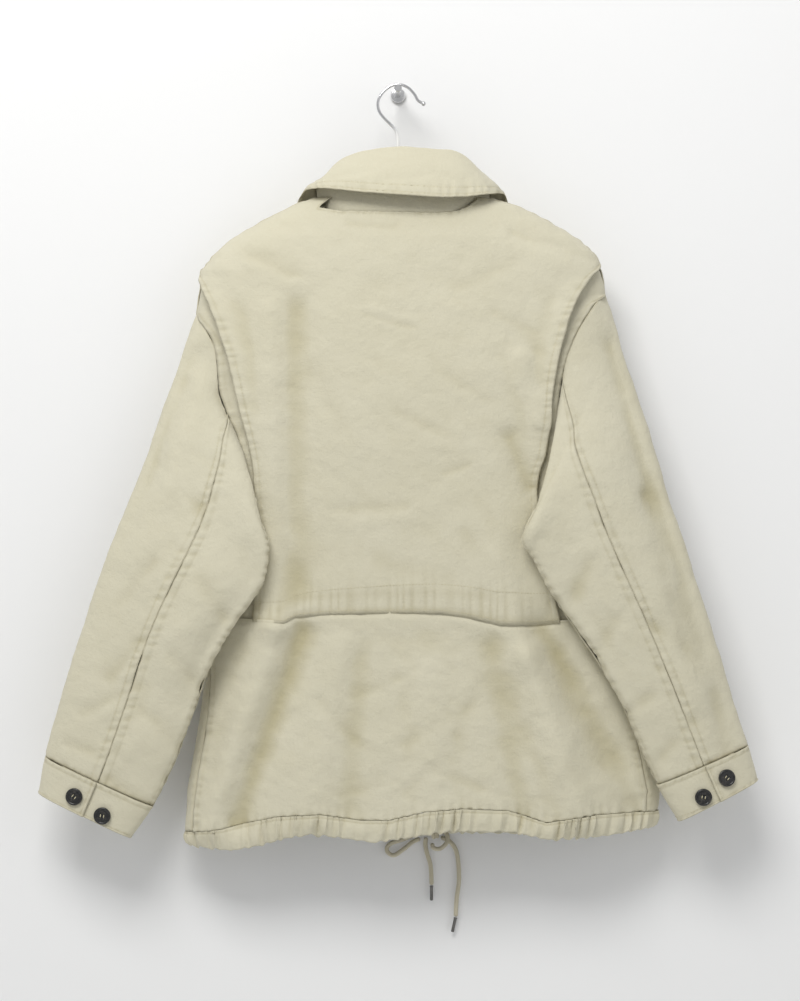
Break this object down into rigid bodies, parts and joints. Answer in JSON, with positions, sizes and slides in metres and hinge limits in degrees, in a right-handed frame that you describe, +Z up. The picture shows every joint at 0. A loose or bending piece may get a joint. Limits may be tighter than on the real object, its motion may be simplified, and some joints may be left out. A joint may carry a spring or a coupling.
{
  "type": "chore jacket on a hanger",
  "caption": "Canvas work jacket hung by its hanger on a wall peg, seen from its back, with a free back cape, a gathered hem casing with a draw cord, and buttoned cuffs.",
  "frame": {"origin": "on the axis of the wall peg, under the crown of the hanger's hook, where the peg carries the hanger and the jacket", "axes": "+Z up along the jacket's length, +Y out of the jacket's front into the wall, so that -Y is the jacket's back, and +X to the wearer's right"},
  "size_m": [0.7581, 0.1271, 0.9087],
  "materials": {
    "cloth": "ecru cotton canvas, matte and soft",
    "cord": "woven beige cord, matte",
    "button": "near-black, softly polished",
    "gunmetal": "dark metal tips",
    "chrome": "polished",
    "white_plastic": "plain white"
  },
  "bodies": {
    "root": {"back_yoke": "cloth", "back_cape": "cloth", "back_skirt": "cloth", "front_l": "cloth", "front_r": "cloth", "sleeve_l_upper": "cloth", "sleeve_l_under": "cloth", "sleeve_r_upper": "cloth", "sleeve_r_under": "cloth", "cuff_l": "cloth", "cuff_r": "cloth", "hem_casing": "cloth", "collar_stand": "cloth", "collar_leaf": "cloth", "cuff_button_l_1": "button", "cuff_button_l_2": "button", "cuff_button_r_1": "button", "cuff_button_r_2": "button", "front_button_1": "button", "front_button_2": "button", "front_button_3": "button", "front_button_4": "button", "front_button_5": "button", "front_button_6": "button", "drawcord_end_short": "cord", "drawcord_end_long": "cord", "drawcord_loop_left": "cord", "drawcord_loop_right": "cord", "drawcord_knot": "cord", "aglet_short": "gunmetal", "aglet_long": "gunmetal", "hanger_hook": "chrome", "hanger_hook_tip": "chrome", "hanger_arms": "white_plastic", "peg_flange": "chrome", "peg_shank": "chrome", "peg_head": "chrome"}
  },
  "joints": []
}
